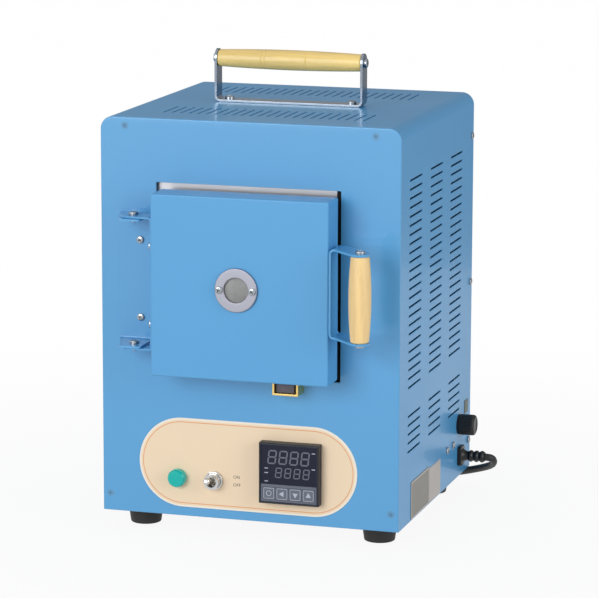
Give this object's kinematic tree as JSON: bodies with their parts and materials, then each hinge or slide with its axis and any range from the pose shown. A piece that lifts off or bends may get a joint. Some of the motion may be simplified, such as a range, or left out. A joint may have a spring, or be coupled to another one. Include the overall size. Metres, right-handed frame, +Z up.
{
  "type": "electric kiln",
  "caption": "Bench-top electric kiln: blue sheet-metal case, side-hinged furnace door with wooden grip, carry handle, temperature controller and lead.",
  "frame": {"origin": "middle of the kiln's outline, without its lead, on the bench", "axes": "+Z up, +X to the right and -Y to the front of a person facing the door"},
  "size_m": [0.2748, 0.3886, 0.37],
  "materials": {
    "case_blue": "glossy blue stove enamel",
    "door_blue": "glossy blue stove enamel",
    "galvanised": "plain zinc-coated sheet",
    "stainless": "satin stainless sheet",
    "plated_steel": "bright nickel plate",
    "screw_steel": "bright zinc plate",
    "painted_screw": "painted over with the panel",
    "rubber_black": "matt black rubber",
    "handle_wood": "clear-lacquered pale beech",
    "plate_cream": "printed cream plate with an orange line",
    "lamp_teal": "translucent teal lens",
    "black_plastic": "moulded black plastic",
    "dark_blue_window": "dark blue display window",
    "grey_plastic": "grey moulded plastic",
    "key_grey": "grey rubbery keys",
    "fibre_board": "pale vacuum-formed ceramic fibre board",
    "muffle_ceramic": "pale refractory ceramic",
    "coil_alloy": "dark oxidised resistance alloy",
    "hearth_ceramic": "dense alumina ceramic",
    "relay_plastic": "black relay case",
    "white_plastic": "white moulded plastic",
    "brass_parts": "plain brass",
    "fuse_glass": "clear glass tube",
    "cord_black": "black cord sheath",
    "catch_zinc": "yellow-passivated zinc plate",
    "magnet_grey": "dark ferrite magnet",
    "peephole_metal": "satin turned ring",
    "mica": "grey-beige mica disc"
  },
  "bodies": {
    "kiln": {"base_pan": "case_blue", "wrapper_cover": "case_blue", "front_panel": "case_blue", "back_panel": "case_blue", "front_panel_screws": "painted_screw", "case_screws": "screw_steel", "rubber_feet": "rubber_black", "carry_bracket": "plated_steel", "carry_grip": "handle_wood", "carry_screws": "screw_steel", "control_plate": "plate_cream", "pilot_lamp_body": "black_plastic", "pilot_lamp_lens": "lamp_teal", "toggle_switch_body": "plated_steel", "toggle_nut": "plated_steel", "controller_housing": "black_plastic", "controller_window": "dark_blue_window", "controller_keypad": "grey_plastic", "controller_clamp": "black_plastic", "furnace_front_frame": "stainless", "furnace_casing": "galvanised", "insulation_boards": "fibre_board", "rear_insulation": "fibre_board", "furnace_muffle": "muffle_ceramic", "heating_coils": "coil_alloy", "hearth_plate": "hearth_ceramic", "thermocouple": "hearth_ceramic", "heater_terminals": "hearth_ceramic", "furnace_rails": "galvanised", "shelf_plate": "galvanised", "shelf_posts": "galvanised", "solid_state_relay": "relay_plastic", "terminal_block": "white_plastic", "fuse_holder_body": "black_plastic", "fuse_link": "fuse_glass", "cord_bushing": "cord_black", "power_cord": "cord_black", "power_cord_coil": "cord_black", "power_plug": "cord_black", "hinge_bracket": "case_blue", "hinge_pivots": "screw_steel", "catch_yoke": "catch_zinc", "catch_magnet": "magnet_grey"},
    "door": {"door_cover": "door_blue", "door_insulation": "fibre_board", "door_inner_plate": "stainless", "peephole_ring": "peephole_metal", "peephole_window": "mica", "peephole_tube": "hearth_ceramic", "door_hinge_bracket": "door_blue", "door_handle_bracket": "door_blue", "door_grip": "handle_wood", "door_screws": "screw_steel"},
    "toggle": {"toggle_lever": "plated_steel"},
    "key_mode": {"controller_key_mode": "key_grey"},
    "key_shift": {"controller_key_shift": "key_grey"},
    "key_down": {"controller_key_down": "key_grey"},
    "key_up": {"controller_key_up": "key_grey"},
    "fuse_knob": {"fuse_cap": "black_plastic"}
  },
  "joints": [
    {"name": "door_swing", "type": "hinge", "parent": "kiln", "child": "door", "pos_m": [-0.09305, -0.1067, 0.2035], "axis": [0, 0, -1], "range_deg": [0, 165]},
    {"name": "toggle_throw", "type": "hinge", "parent": "kiln", "child": "toggle", "pos_m": [-0.03505, -0.0896, 0.0462], "axis": [1, 0, 0], "range_deg": [0, 24]},
    {"name": "fuse_cap_turn", "type": "hinge", "parent": "kiln", "child": "fuse_knob", "pos_m": [0.12295, 0.1013, 0.0595], "axis": [1, 0, 0], "range_deg": [0, 90]},
    {"name": "key_mode_press", "type": "slide", "parent": "kiln", "child": "key_mode", "axis": [0, 1, 0], "range_m": [0, 0.0005], "stiffness_N_per_m": 400, "springref_m": -0.0005},
    {"name": "key_shift_press", "type": "slide", "parent": "kiln", "child": "key_shift", "axis": [0, 1, 0], "range_m": [0, 0.0005], "stiffness_N_per_m": 400, "springref_m": -0.0005},
    {"name": "key_down_press", "type": "slide", "parent": "kiln", "child": "key_down", "axis": [0, 1, 0], "range_m": [0, 0.0005], "stiffness_N_per_m": 400, "springref_m": -0.0005},
    {"name": "key_up_press", "type": "slide", "parent": "kiln", "child": "key_up", "axis": [0, 1, 0], "range_m": [0, 0.0005], "stiffness_N_per_m": 400, "springref_m": -0.0005}
  ]
}
